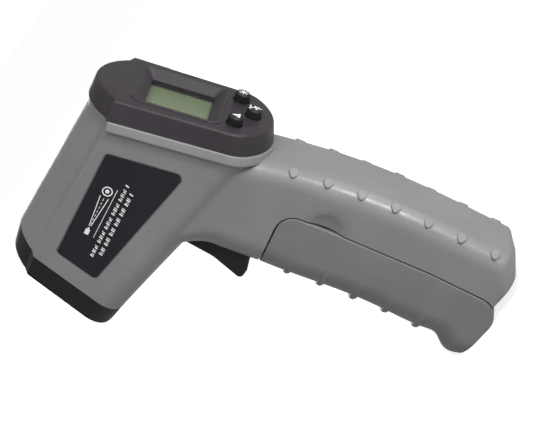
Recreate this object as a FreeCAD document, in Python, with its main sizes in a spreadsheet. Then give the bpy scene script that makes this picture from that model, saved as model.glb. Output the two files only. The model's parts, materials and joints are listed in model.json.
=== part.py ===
"""Gun-type infrared thermometer: two housing shells, display, sensor, laser, trigger and 9 V battery bay.

Axes: +X forwards along the sensor's line of sight, +Y to the left, +Z up. Millimetres. The origin is at the
middle of the foot's plane, under the centre of the object's box.
"""
import FreeCAD
import Part
import math
import os

import Sketcher

from FreeCAD import Placement, Rotation, Vector

doc = FreeCAD.newDocument("infrared_thermometer")

# ---------------------------------------------------------------- driving dimensions

DIMENSIONS = {
    # head
    "nose_front": 51.0, "nose_seam": 43.0, "display_tilt": 20.9, "shoulder_x": -18.9, "shoulder_z": 138.5,
    "bezel_height": 6.5, "collar_width": 3.4, "collar_upper": 0.3, "collar_lower": 1.25, "collar_top": 1.6,
    "shell_wall": 1.6, "spigot_gap": 0.15, "spigot_depth": 2.4, "label_thickness": 0.3, "label_recess": 0.35,
    "label_border": 0.5,
    # sensor and laser
    "sensor_z": 116.0, "aperture_radius": 7.0, "aperture_length": 6.0, "tube_radius": 8.0, "tube_length": 24.0,
    "lens_radius": 6.4, "lens_thickness": 1.5, "ring_height": 1.0, "can_radius": 4.6, "can_height": 4.4,
    "sensor_board_side": 15.0, "thin_board": 1.0,
    "laser_z": 101.5, "laser_radius": 3.2, "laser_length": 11.0, "laser_hole": 2.0,
    "laser_window_radius": 2.8, "laser_window_thickness": 0.8,
    # display stack, as depths below the bezel's face
    "opening_wide": 20.4, "opening_high": 20.6, "opening_depth": 2.2, "window_wide": 22.0, "window_high": 24.0,
    "window_thickness": 1.0, "window_depth": 3.0, "window_v": -17.4, "rim_wide": 28.1, "rim_high": 29.2,
    "rim_width": 0.85, "rim_proud": 0.4,
    "lcd_wide": 20.6, "lcd_high": 26.0, "lcd_thickness": 2.2, "lcd_depth": 4.3,
    "frame_wide": 24.0, "frame_high": 29.0, "frame_depth": 4.1, "backlight_high": 22.6,
    "backlight_thickness": 2.2, "strip_high": 2.2,
    "board_depth": 9.5, "board_thickness": 1.6, "board_half": 15.8, "board_low": -43.5, "board_high": -1.0,
    "board_corner": 8.8,
    # keys
    "key_radius": 2.5, "key_hole": 2.8, "key_proud": 3.0, "key_flange": 3.3, "key_flange_depth": 2.15,
    "key_flange_thickness": 1.0, "key_stem": 1.4, "key_side_v": -36.0, "key_side_y": 9.3,
    "key_middle_v": -41.0, "switch_side": 4.5, "switch_body": 2.8, "plunger_radius": 1.1, "plunger_gap": 0.1,
    "plunger_proud": 0.9,
    # handle
    "grip_half": 14.9, "grip_rear_radius": 6.5, "grip_front_radius": 10.4, "door_gap": 0.55, "door_wall": 1.6,
    "heel_x": -36.5, "heel_radius": 7.0, "hinge_x": -30.8, "hinge_z": 4.2, "hinge_pin_radius": 1.0,
    "hinge_knuckle": 2.6, "pin_clearance": 0.05, "pin_seat": 0.02,
    "notch_depth": 1.6, "notch_radius": 6.3, "rib_radius": 1.3, "rib_proud": 1.2, "bump_proud": 0.45,
    "bump_radius": 1.75, "bump_tip": 2.9, "bump_turn": 33.0,
    # battery
    "battery_long": 46.4, "battery_wide": 26.2, "battery_thick": 17.2, "battery_x": -26.6, "battery_z": 35.0,
    "battery_lean": 13.0, "terminal_height": 2.2, "snap_height": 3.0, "lead_radius": 0.65,
    # trigger
    "pivot_x": 3.0, "pivot_z": 92.0, "trigger_half": 5.4, "trigger_pin_radius": 1.5, "trigger_pin_length": 19.0,
    "plunger_drop": 12.0, "spring_drop": 5.0, "spring_radius": 1.9, "spring_wire": 0.22, "spring_turns": 6.0,
    # screws
    "boss_radius": 2.8, "screw_shank": 0.9, "screw_head": 2.0, "screw_head_height": 1.5, "screw_long": 14.0,
    "board_screw_shank": 0.75, "board_screw_head": 1.5, "board_screw_long": 6.0,
}

sheet = doc.addObject("Spreadsheet::Sheet", "Sizes")
for row, (alias, number) in enumerate(DIMENSIONS.items(), start=1):
    sheet.set(f"A{row}", alias)
    sheet.set(f"B{row}", str(number))
    sheet.setAlias(f"B{row}", alias)
doc.recompute()


def value(expression):
    """What an expression on the sheet comes to, as a plain number."""
    if isinstance(expression, (int, float)):
        return float(expression)
    result = sheet.evalExpression(expression)
    return float(getattr(result, "Value", result))


def cell(alias):
    """One driving dimension, read back from the sheet."""
    return value(f"Sizes.{alias}")


# ---------------------------------------------------------------- frames of reference

ORIGIN = Placement()
TILT = math.radians(cell("display_tilt"))
OUT_OF_DISPLAY = Vector(-math.cos(TILT), 0, math.sin(TILT))
UP_DISPLAY = Vector(math.sin(TILT), 0, math.cos(TILT))
DISPLAY_ORIGIN = Vector(cell("shoulder_x"), 0, cell("shoulder_z"))
DISPLAY_TURN = Rotation(Vector(0, -1, 0), UP_DISPLAY, OUT_OF_DISPLAY, "ZXY")
FORWARD_TURN = Rotation(Vector(0, 1, 0), Vector(0, 0, 1), Vector(1, 0, 0), "ZXY")
BATTERY_TURN = Rotation(Vector(0, 1, 0), cell("battery_lean"))
BATTERY_CENTRE = Vector(cell("battery_x"), 0, cell("battery_z"))


def on_display(depth, right=0.0, up=0.0):
    """A placement on the display's plane: x to the user's right, y up the display, z out to the user."""
    spot = DISPLAY_ORIGIN - OUT_OF_DISPLAY * depth + UP_DISPLAY * up + Vector(0, -right, 0)
    return Placement(spot, DISPLAY_TURN)


def display_point(y, up, depth):
    return DISPLAY_ORIGIN - OUT_OF_DISPLAY * depth + UP_DISPLAY * up + Vector(0, y, 0)


def facing_forward(x, y, z):
    """A placement whose z runs forwards along the sensor's line of sight."""
    return Placement(Vector(x, y, z), FORWARD_TURN)


# ---------------------------------------------------------------- PartDesign helpers

def new_body(name, placement=ORIGIN):
    body = doc.addObject("PartDesign::Body", name)
    body.Label = name
    body.Placement = placement
    return body


def sketch_on(body, role, offset=0):
    """A sketch on one of the body's own origin planes, `offset` along that plane's normal."""
    sketch = body.newObject("Sketcher::SketchObject", f"{body.Name}_sketch")
    plane = next(f for f in body.Origin.OriginFeatures if f.Role == role)
    sketch.AttachmentSupport = [(plane, "")]
    sketch.MapMode = "FlatFace"
    sketch.AttachmentOffset = Placement(Vector(0, 0, value(offset)), Rotation())
    if isinstance(offset, str):
        sketch.setExpression("AttachmentOffset.Base.z", offset)
    return sketch


def bind(sketch, kind, *arguments):
    """Add a dimension whose last argument is an expression on the sheet."""
    *where, expression = arguments
    index = sketch.addConstraint(Sketcher.Constraint(kind, *where, value(expression)))
    if isinstance(expression, str):
        sketch.setExpression(f"Constraints[{index}]", expression)


def draw_rectangle(sketch, wide, high):
    """A rectangle centred on the sketch's origin."""
    x = value(wide) / 2
    y = value(high) / 2
    corners = [Vector(-x, -y, 0), Vector(x, -y, 0), Vector(x, y, 0), Vector(-x, y, 0)]
    lines = []
    for start, end in zip(corners, corners[1:] + corners[:1]):
        lines.append(sketch.addGeometry(Part.LineSegment(start, end), False))
    for line, following in zip(lines, lines[1:] + lines[:1]):
        sketch.addConstraint(Sketcher.Constraint("Coincident", line, 2, following, 1))
    for line in lines[0::2]:
        sketch.addConstraint(Sketcher.Constraint("Horizontal", line))
    for line in lines[1::2]:
        sketch.addConstraint(Sketcher.Constraint("Vertical", line))
    sketch.addConstraint(Sketcher.Constraint("Symmetric", lines[0], 1, lines[2], 1, -1, 1))
    bind(sketch, "DistanceX", lines[0], 1, lines[0], 2, wide)
    bind(sketch, "DistanceY", lines[1], 1, lines[1], 2, high)


def draw_circle(sketch, radius):
    circle = Part.Circle(Vector(0, 0, 0), Vector(0, 0, 1), value(radius))
    index = sketch.addGeometry(circle, False)
    sketch.addConstraint(Sketcher.Constraint("Coincident", index, 3, -1, 1))
    bind(sketch, "Radius", index, radius)


def draw_outline(sketch, corners):
    """A closed outline of straight lines; a corner is two expressions, and a plain 0 lies on the axis."""
    points = [Vector(value(x), value(y), 0) for x, y in corners]
    lines = []
    for start, end in zip(points, points[1:] + points[:1]):
        lines.append(sketch.addGeometry(Part.LineSegment(start, end), False))
    for line, following in zip(lines, lines[1:] + lines[:1]):
        sketch.addConstraint(Sketcher.Constraint("Coincident", line, 2, following, 1))
    for line, (x, y) in zip(lines, corners):
        if x == 0:
            sketch.addConstraint(Sketcher.Constraint("PointOnObject", line, 1, -2))
        else:
            bind(sketch, "DistanceX", -1, 1, line, 1, x)
        if y == 0:
            sketch.addConstraint(Sketcher.Constraint("PointOnObject", line, 1, -1))
        else:
            bind(sketch, "DistanceY", -1, 1, line, 1, y)


def pad(body, sketch, length, reverse=False):
    feature = body.newObject("PartDesign::Pad", f"{body.Name}_pad")
    feature.Profile = sketch
    feature.Length = value(length)
    if isinstance(length, str):
        feature.setExpression("Length", length)
    feature.Reversed = reverse
    sketch.Visibility = False
    return feature


def pocket(body, sketch, length):
    """Cut downwards, against the sketch's normal."""
    feature = body.newObject("PartDesign::Pocket", f"{body.Name}_pocket")
    feature.Profile = sketch
    feature.Length = value(length)
    if isinstance(length, str):
        feature.setExpression("Length", length)
    return feature


def slab(name, placement, wide, high, thick):
    """A rectangular plate: centred in x and y, and from 0 to `thick` in z."""
    body = new_body(name, placement)
    sketch = sketch_on(body, "XY_Plane")
    draw_rectangle(sketch, wide, high)
    pad(body, sketch, thick)
    return body


def turned(name, placement, corners):
    """A turned piece about its own z; each corner is (radius, height)."""
    body = new_body(name, placement)
    sketch = sketch_on(body, "XZ_Plane")
    draw_outline(sketch, corners)
    feature = body.newObject("PartDesign::Revolution", f"{name}_turn")
    feature.Profile = sketch
    feature.ReferenceAxis = (sketch, ["V_Axis"])
    feature.Angle = 360.0
    return body


def soften(body, edge_test, radius):
    """Round the edges of a body's tip that pass `edge_test`."""
    doc.recompute()
    base = body.Tip
    names = [f"Edge{i}" for i, edge in enumerate(base.Shape.Edges, start=1) if edge_test(edge)]
    feature = body.newObject("PartDesign::Fillet", f"{body.Name}_fillet")
    feature.Base = (base, names)
    feature.Radius = radius
    return feature


def stands_along_z(edge):
    """True for a straight edge along the body's own z."""
    if not isinstance(edge.Curve, Part.Line):
        return False
    return abs(edge.Curve.Direction.z) > 0.99


# ---------------------------------------------------------------- free-form helpers

def cylinder(start, direction, radius, length):
    return Part.makeCylinder(radius, length, start, direction)


def box(low, high):
    size = Vector(*high) - Vector(*low)
    return Part.makeBox(size.x, size.y, size.z, Vector(*low))


def arc(first, middle, last):
    return Part.Arc(first, middle, last).toShape()


def side_prism(wire, half):
    """The outline in the XZ plane, drawn out to y = -half and +half."""
    face = Part.Face(wire)
    face.translate(Vector(0, -half, 0))
    return face.extrude(Vector(0, 2 * half, 0))


def rounded_polygon(corners, radii):
    """A closed wire in the XZ plane: straight sides joined by arcs of the radii given for each corner."""
    starts = []
    ends = []
    mids = []
    count = len(corners)
    for index in range(count):
        here = Vector(corners[index][0], 0, corners[index][1])
        before = Vector(corners[index - 1][0], 0, corners[index - 1][1])
        after = Vector(corners[(index + 1) % count][0], 0, corners[(index + 1) % count][1])
        to_before = (before - here).normalize()
        to_after = (after - here).normalize()
        half_angle = to_before.getAngle(to_after) / 2
        setback = radii[index] / math.tan(half_angle)
        bisector = (to_before + to_after).normalize()
        centre = here + bisector * (radii[index] / math.sin(half_angle))
        starts.append(here + to_before * setback)
        ends.append(here + to_after * setback)
        mids.append(centre - bisector * radii[index])
    edges = []
    for index in range(count):
        edges.append(arc(starts[index], mids[index], ends[index]))
        edges.append(Part.makeLine(ends[index], starts[(index + 1) % count]))
    return Part.Wire(edges)


def rounded_rectangle(wide, high, radius, placement):
    """A closed wire, centred on the placement's origin in its xy plane."""
    half = Vector(wide / 2, high / 2, 0)
    corners = [(-half.x, -half.y), (half.x, -half.y), (half.x, half.y), (-half.x, half.y)]
    wire = rounded_polygon(corners, [radius] * 4)
    wire.rotate(Vector(0, 0, 0), Vector(1, 0, 0), -90)
    wire.Placement = placement.multiply(wire.Placement)
    return wire


def piece(name, shape):
    """A free-form sub-part: its shape is set here, from sizes read off the sheet."""
    feature = doc.addObject("Part::Feature", name)
    feature.Label = name
    feature.Shape = shape
    return feature


# ---------------------------------------------------------------- outlines of the head

# Each outline is the left half of a section, as (y, height) pairs: the lower end of the side, where a corner
# of radius `round` begins and runs on into one wide arc through `low`; the side's upper end; and the foot of the
# dome, whose arc passes through `top`.
NOSE_FRONT = dict(
    side=(17.9, 103.7), round=8.0, low=94.2, shoulder=(16.5, 127.0), foot=(13.6, 128.6), top=135.4,
)
NOSE_SEAM = dict(
    side=(19.0, 103.7), round=8.0, low=94.2, shoulder=(18.1, 129.2), foot=(14.9, 130.6), top=138.2,
)
HEAD_REAR = dict(side=(18.5, -35.8), round=9.8, low=-48.9, shoulder=(20.2, 1.4), foot=(17.5, 2.3), top=10.3)
BEZEL_BASE = dict(side=(18.9, -36.0), round=10.0, low=-49.6, shoulder=(20.6, 2.0), foot=(18.1, 2.7), top=11.0)
BEZEL_FACE = dict(side=(17.2, -35.4), round=9.0, low=-47.8, shoulder=(18.2, 1.0), foot=(14.6, 2.4), top=10.0)


def section(outline, to_space, inset=0.0):
    """The closed wire of an outline, drawn `inset` inside it; to_space places a (y, height) pair."""
    half, start = outline["side"]
    centre = half - outline["round"]
    rise = (start - outline["low"] - outline["round"]) / centre
    turn = math.pi / 2 - 2 * math.atan(rise)
    radius = outline["round"] - inset

    def on_corner(angle):
        return centre + radius * math.cos(angle), start - radius * math.sin(angle)

    side, corner, bottom = (on_corner(angle) for angle in (0.0, turn / 2, turn))
    shoulder, foot = ((y - inset, height - inset) for y, height in (outline["shoulder"], outline["foot"]))
    top = outline["top"] - inset
    low = outline["low"] + inset

    def left(pair):
        return to_space(pair[0], pair[1])

    def right(pair):
        return to_space(-pair[0], pair[1])

    return Part.Wire([
        arc(right(bottom), to_space(0, low), left(bottom)),
        arc(left(bottom), left(corner), left(side)),
        Part.makeLine(left(side), left(shoulder)),
        Part.makeLine(left(shoulder), left(foot)),
        arc(left(foot), to_space(0, top), right(foot)),
        Part.makeLine(right(foot), right(shoulder)),
        Part.makeLine(right(shoulder), right(side)),
        arc(right(side), right(corner), right(bottom)),
    ])


def at_x(x):
    return lambda y, height: Vector(x, y, height)


def at_depth(depth):
    return lambda y, up: display_point(y, up, depth)


def head_room(inset, front, rear_depth):
    """The head's form drawn `inset` inside, past the nose seam and up to a depth below the display."""
    sections = [
        section(NOSE_SEAM, at_x(cell("nose_seam") + front), inset),
        section(HEAD_REAR, at_depth(rear_depth), inset),
    ]
    return Part.makeLoft(sections, True, True)


def head_form():
    """The head's outside, from the nose seam to the collar, with soft shoulders along the dome."""
    form = head_room(0.0, 0.0, cell("bezel_height") + cell("collar_width"))
    shoulders = [e for e in form.Edges if e.BoundBox.XLength > 30 and e.BoundBox.ZMin > 125]
    return form.makeFillet(1.2, shoulders)


def collar_form():
    """The housing under the bezel, with a raised rim along its sides and round its lower end."""
    base = cell("bezel_height")
    deep = base + cell("collar_width")
    neck_sections = [section(BEZEL_BASE, at_depth(base)), section(HEAD_REAR, at_depth(deep))]
    neck = Part.makeLoft(neck_sections, True, True)
    upper = section(BEZEL_BASE, at_depth(base), -cell("collar_upper"))
    lower = section(BEZEL_BASE, at_depth(deep), -cell("collar_lower"))
    rim = Part.makeLoft([upper, lower], True, True)
    below_dome = Part.makeBox(100, 100, 40)
    below_dome.Placement = on_display(30, -50, cell("collar_top") - 100)
    rim = rim.common(below_dome)
    return neck.fuse(rim.makeFillet(0.7, rim.Edges))


# ---------------------------------------------------------------- outlines of the handle

# height, rear x, front x and half-width of the handle, from inside the head down to just above the foot
FLARE_STATIONS = (
    (104.0, -21.0, 30.0, 18.0), (96.0, -25.2, 16.0, 16.4), (90.0, -28.4, 9.8, 15.3), (84.0, -31.2, 7.2, 14.9),
)
GRIP_STATIONS = (
    (84.0, -31.2, 7.2, 14.9), (69.0, -37.0, 2.6, 14.9), (49.5, -43.0, -3.3, 14.9), (28.3, -47.6, -8.7, 14.9),
    (10.9, -50.83, -12.03, 14.9),
)
FOOT_STATIONS = (
    (10.9, -50.83, -12.03, 14.9), (10.3, -50.86, -12.14, 14.9), (9.8, -50.72, -12.2, 14.9),
    (9.3, -50.43, -12.2, 14.9), (3.7, -46.0, -12.2, 14.9),
)
DOOR_STATIONS = (
    (84.0, -31.2, 7.2, 14.9), (69.0, -37.0, 2.6, 14.9), (49.5, -43.0, -3.3, 14.9), (28.3, -47.6, -8.7, 14.9),
    (14.0, -50.3, -11.9, 14.9), (9.8, -51.0, -12.3, 14.9), (6.0, -51.0, -10.4, 14.9), (2.6, -50.0, -10.2, 14.9),
    (0.0, -49.0, -11.6, 14.9),
)


def grip_section(station, inset=0.0):
    """A level, rounded rectangle across the handle."""
    height, rear, front, half = station
    rear += inset
    front -= inset
    half -= inset
    rear_radius = max(cell("grip_rear_radius") - inset, 1.0)
    front_radius = cell("grip_front_radius") - inset
    corners = ((rear, half, rear_radius), (front, half, front_radius),
               (front, -half, front_radius), (rear, -half, rear_radius))
    spots = []
    for x, y, radius in corners:
        inward_x = 1 if x == rear else -1
        inward_y = 1 if y < 0 else -1
        along = Vector(x + inward_x * radius, y, height)
        across = Vector(x, y + inward_y * radius, height)
        slant = radius * (1 - math.sqrt(0.5))
        middle = Vector(x + inward_x * slant, y + inward_y * slant, height)
        spots.append((along, middle, across))
    (a1, a2, a3), (b1, b2, b3), (c1, c2, c3), (d1, d2, d3) = spots
    edges = [Part.makeLine(a1, b1), arc(b1, b2, b3), Part.makeLine(b3, c3), arc(c3, c2, c1),
             Part.makeLine(c1, d1), arc(d1, d2, d3), Part.makeLine(d3, a3), arc(a3, a2, a1)]
    return Part.Wire(edges)


def grip_form(inset=0.0):
    """The handle down to the foot, and the flare that blends it into the head."""
    straight = Part.makeLoft([grip_section(s, inset) for s in GRIP_STATIONS], True, False)
    flare = Part.makeLoft([grip_section(s, inset) for s in FLARE_STATIONS], True, False)
    return straight.fuse(flare)


def foot_form(inset=0.0):
    """The short end of the handle: a tight bend at its rear in three facets, and then a flat slope."""
    lower = FOOT_STATIONS[-1]
    floor = (lower[0] + inset,) + lower[1:]
    form = Part.makeLoft([grip_section(s, inset) for s in FOOT_STATIONS[:-1] + (floor,)], True, True)
    if inset:
        return form
    rim = [e for e in form.Edges if e.BoundBox.ZMax < lower[0] + 0.1]
    return form.makeFillet(0.8, rim)


def between_stations(height, column):
    """The handle's rear (column 1) or front (column 2) x at a height."""
    for upper, lower in zip(GRIP_STATIONS, GRIP_STATIONS[1:]):
        if lower[0] <= height <= upper[0]:
            share = (height - lower[0]) / (upper[0] - lower[0])
            return lower[column] + share * (upper[column] - lower[column])
    raise ValueError(height)


def door_form(inset=0.0):
    return Part.makeLoft([grip_section(s, inset) for s in DOOR_STATIONS], True, False)


def door_outline():
    """The door seen from the side: its seam behind and above, and open space in front."""
    corners = [(20.0, 66.1), (-18.9, 75.5), (-23.2, 59.9), (-31.5, 26.5), (cell("heel_x"), 0.0), (20.0, 0.0)]
    radii = [1.0, 6.0, 80.0, 60.0, cell("heel_radius"), 1.0]
    return rounded_polygon(corners, radii)


# ---------------------------------------------------------------- the two housing halves

WALL = cell("shell_wall")
HALF_ROOM = 30.0
SCREW_SPOTS = ((33.0, 132.0), (14.0, 99.0), (-18.5, 84.0), (-42.6, 10.4))
BUMP_HEIGHTS = (80.9, 70.4, 59.7, 48.8, 37.7, 26.4, 14.6)
RIB_HEIGHTS = (61.1, 50.3, 39.1, 28.2, 17.2)
LABEL_CORNERS = ((-2.5, 131.6), (-11.5, 107.7), (36.5, 109.2), (36.6, 124.4))
LABEL_RADII = (1.3, 1.9, 1.4, 1.3)


def grip_bump(height, side):
    """A drop-shaped bump on a rear corner of the handle, its tip towards the side and standing highest."""
    radius = cell("bump_radius")
    tip = cell("bump_tip")
    around = math.acos(radius / tip)
    y = radius * math.cos(around)
    z = radius * math.sin(around)
    root = 2.0
    outline = Part.Wire([
        arc(Vector(root, side * y, z), Vector(root, -side * radius, 0), Vector(root, side * y, -z)),
        Part.makeLine(Vector(root, side * y, -z), Vector(root, side * tip, 0)),
        Part.makeLine(Vector(root, side * tip, 0), Vector(root, side * y, z)),
    ])
    bump = Part.Face(outline).extrude(Vector(-root - cell("bump_proud"), 0, 0))
    point = [e for e in bump.Edges if e.BoundBox.XLength > 1.0 and abs(e.BoundBox.Center.y) > tip - 0.1]
    bump = bump.makeFillet(0.9, point)
    crown = [e for e in bump.Edges if e.BoundBox.XMax < -cell("bump_proud") + 0.01]
    bump = bump.makeFillet(0.4, crown)
    slope = 6.0
    turn = cell("bump_turn")
    bump.rotate(Vector(0, 0, 0), Vector(0, 0, 1), -side * (turn - slope))
    bump.rotate(Vector(0, 0, 0), Vector(0, 1, 0), cell("battery_lean"))
    corner = cell("grip_rear_radius")
    x = between_stations(height, 1) + corner - corner * math.cos(math.radians(turn))
    y = cell("grip_half") - corner + corner * math.sin(math.radians(turn))
    bump.translate(Vector(x, side * y, height))
    return bump


def screw_boss(x, height, side):
    """A screw post from the split line out into the shell's wall."""
    radius = cell("boss_radius") if side > 0 else cell("boss_radius") + 0.4
    return cylinder(Vector(x, 0, height), Vector(0, side, 0), radius, HALF_ROOM)


def screw_hole(x, height, side):
    """A pilot hole in the left half; a clearance hole and a counterbore in the right one."""
    seat = 6.0
    if side > 0:
        return cylinder(Vector(x, -0.1, height), Vector(0, 1, 0), cell("screw_shank") + 0.05, 10.0)
    hole = cylinder(Vector(x, 0.1, height), Vector(0, -1, 0), cell("screw_shank") + 0.3, seat + 0.2)
    wide = cell("screw_head") + 0.2
    return hole.fuse(cylinder(Vector(x, -seat, height), Vector(0, -1, 0), wide, HALF_ROOM))


def label_prism(grow):
    wire = rounded_polygon(LABEL_CORNERS, LABEL_RADII)
    if grow:
        wire = wire.makeOffset2D(grow)
    return side_prism(wire, HALF_ROOM)


def label_plate(outer, grow, thick):
    """A thin plate of the head's own curve, on both sides of the head."""
    block = outer.common(label_prism(grow))
    core = Part.makeBox(200, 60, 200, Vector(-100, -30, 0))
    left = block.cut(outer.translated(Vector(0, -thick, 0)))
    right = block.cut(outer.translated(Vector(0, thick, 0)))
    return left.common(core), right.common(core)


def thumb_notch(backing=0.0):
    """The half-round hollow beside the seam, on both sides, where a thumb reaches the door's edge."""
    deep = cell("notch_depth")
    across = cell("notch_radius")
    radius = (across ** 2 + deep ** 2) / (2 * deep)
    out = cell("grip_half") + radius - deep
    left = Part.makeSphere(radius + backing, Vector(-22.4, out, 61.6))
    right = Part.makeSphere(radius + backing, Vector(-22.4, -out, 61.6))
    return left.fuse(right)


def sensor_cradle(inner):
    """Two cross walls that hold the sensor tube, and the laser below it."""
    walls = []
    for x in (24.0, 37.0):
        walls.append(inner.common(box((x, -30, 90), (x + 1.6, 30, 126))))
    cradle = walls[0].fuse(walls[1])
    tube = cylinder(Vector(0, 0, cell("sensor_z")), Vector(1, 0, 0), cell("tube_radius") + 0.1, 60)
    laser = cylinder(Vector(0, 0, cell("laser_z")), Vector(1, 0, 0), cell("laser_radius") + 0.1, 60)
    return cradle.cut(tube).cut(laser)


def battery_bay(inner, seam):
    """The wall round the door's top edge and the ceiling over the battery, with a slot for its leads."""
    band = side_prism(seam.makeOffset2D(cell("door_gap") + WALL), HALF_ROOM)
    band = band.cut(side_prism(seam.makeOffset2D(cell("door_gap")), HALF_ROOM))
    band = band.common(box((-21.6, -30, 66.0), (20, 30, 80)))
    ceiling = box((-40, -30, 68.6), (-20.6, 30, 70.2))
    ceiling = ceiling.cut(side_prism(seam.makeOffset2D(cell("door_gap")), HALF_ROOM))
    leads = box((-29.5, -5.5, 60), (-23.2, 5.5, 80))
    return band.fuse(ceiling).common(inner).cut(leads)


def trigger_slot():
    half = cell("trigger_half") + 0.3
    return box((-4.0, -half, 71.6), (16.5, half, 93.4))


def pivot_boss(x, height, radius, inner_y):
    left = cylinder(Vector(x, inner_y, height), Vector(0, 1, 0), radius, HALF_ROOM)
    right = cylinder(Vector(x, -inner_y, height), Vector(0, -1, 0), radius, HALF_ROOM)
    return left.fuse(right)


def hinge_lug():
    """The arm under the handle's foot that carries the door's pin."""
    x = cell("hinge_x")
    height = cell("hinge_z")
    radius = cell("hinge_knuckle") - 0.3
    eye = cylinder(Vector(x, -4, height), Vector(0, 1, 0), radius, 8)
    arm = box((-40.5, -4, height - 1.6), (x, 4, height + 1.6))
    return eye.fuse(arm)


def housing_outer():
    """The outside of both halves together, with the bumps added."""
    outer = head_form().fuse([collar_form(), grip_form(), foot_form()])
    bumps = [grip_bump(height, side) for height in BUMP_HEIGHTS for side in (1, -1)]
    return outer.fuse(bumps)


def housing_inner():
    head = head_room(WALL, 1.0, cell("bezel_height") - 0.6)
    return head.fuse([grip_form(WALL), foot_form(WALL)])


def build_housings():
    outer = housing_outer()
    inner = housing_inner()
    seam = door_outline()
    solid = outer.cut(inner)
    solid = solid.fuse(thumb_notch(0.7).common(inner))
    for x, height in SCREW_SPOTS:
        posts = screw_boss(x, height, 1).fuse(screw_boss(x, height, -1))
        solid = solid.fuse(posts.common(inner))
    pivot = pivot_boss(cell("pivot_x"), cell("pivot_z"), 3.2, cell("trigger_half") + 0.6)
    solid = solid.fuse([pivot.common(inner), sensor_cradle(inner)])
    switch_post = box((-15.6, -4, 74), (-14.0, 4, 92)).fuse(box((-15.6, -30, 90.0), (-14.0, 30, 92)))
    solid = solid.fuse([switch_post.common(inner)])
    solid = solid.cut(side_prism(seam.makeOffset2D(cell("door_gap")), HALF_ROOM))
    solid = solid.fuse([battery_bay(inner, seam), hinge_lug()])
    solid = solid.cut([trigger_slot(), thumb_notch()])
    recess_left, recess_right = label_plate(head_form(), cell("label_border"), cell("label_recess"))
    solid = solid.cut([recess_left, recess_right])
    pin_room = cell("pin_clearance")
    tight = cell("pin_seat")
    pivot_hole = cylinder(Vector(cell("pivot_x"), -9.6, cell("pivot_z")), Vector(0, 1, 0),
                          cell("trigger_pin_radius") + tight, 19.2)
    hinge_hole = cylinder(Vector(cell("hinge_x"), -20, cell("hinge_z")), Vector(0, 1, 0),
                          cell("hinge_pin_radius") + pin_room, 40)
    solid = solid.cut([pivot_hole, hinge_hole])
    for x, height in SCREW_SPOTS:
        solid = solid.cut([screw_hole(x, height, 1), screw_hole(x, height, -1)])
    left = solid.common(box((-80, 0, -10), (80, 60, 200)))
    right = solid.common(box((-80, -60, -10), (80, 0, 200)))
    piece("left_housing", left)
    piece("right_housing", right)


def build_labels():
    left, right = label_plate(head_form(), 0.0, cell("label_thickness"))
    shallow = cell("label_recess") - cell("label_thickness")
    piece("left_label", left.translated(Vector(0, -shallow, 0)))
    piece("right_label", right.translated(Vector(0, shallow, 0)))


# ---------------------------------------------------------------- nose cap and bezel

def ring_wall(outline, to_start, to_end, outside, thick):
    """A thin closed wall between two planes, drawn `outside` inside an outline."""
    full = Part.makeLoft([section(outline, to_start, outside), section(outline, to_end, outside)], True, True)
    hollow = [section(outline, to_start, outside + thick), section(outline, to_end, outside + thick)]
    return full.cut(Part.makeLoft(hollow, True, True))


def build_nose_cap():
    seam = cell("nose_seam")
    front = cell("nose_front")
    wall = 2.4
    face = 2.5
    cap = Part.makeLoft([section(NOSE_SEAM, at_x(seam)), section(NOSE_FRONT, at_x(front))], True, True)
    rim = [e for e in cap.Edges if e.BoundBox.XMin > front - 0.01]
    cap = cap.makeFillet(1.2, rim)
    inside = [section(NOSE_SEAM, at_x(seam - 1), wall), section(NOSE_FRONT, at_x(front - face), wall)]
    cap = cap.cut(Part.makeLoft(inside, True, True))
    spigot = ring_wall(NOSE_SEAM, at_x(seam - cell("spigot_depth")), at_x(seam + 1.5),
                       WALL + cell("spigot_gap"), 1.1)
    long = cell("aperture_length")
    around = cell("tube_radius") + 1
    throat = cylinder(Vector(front - long, 0, cell("sensor_z")), Vector(1, 0, 0), around, long - 1)
    laser_boss = cylinder(Vector(front - face - 0.1, 0, cell("laser_z")), Vector(1, 0, 0), 3.6, face - 1)
    cap = cap.fuse([spigot, throat, laser_boss])
    aperture = cylinder(Vector(front - 20, 0, cell("sensor_z")), Vector(1, 0, 0), cell("aperture_radius"), 30)
    beam = cylinder(Vector(front - 20, 0, cell("laser_z")), Vector(1, 0, 0), cell("laser_hole"), 30)
    piece("nose_cap", cap.cut([aperture, beam]))


POST_SPOTS = ((13.9, -3.4), (13.9, -29.6))


def out_of_face(point):
    """How far a point stands out of the bezel's face."""
    return (point - DISPLAY_ORIGIN).dot(OUT_OF_DISPLAY)


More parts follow.
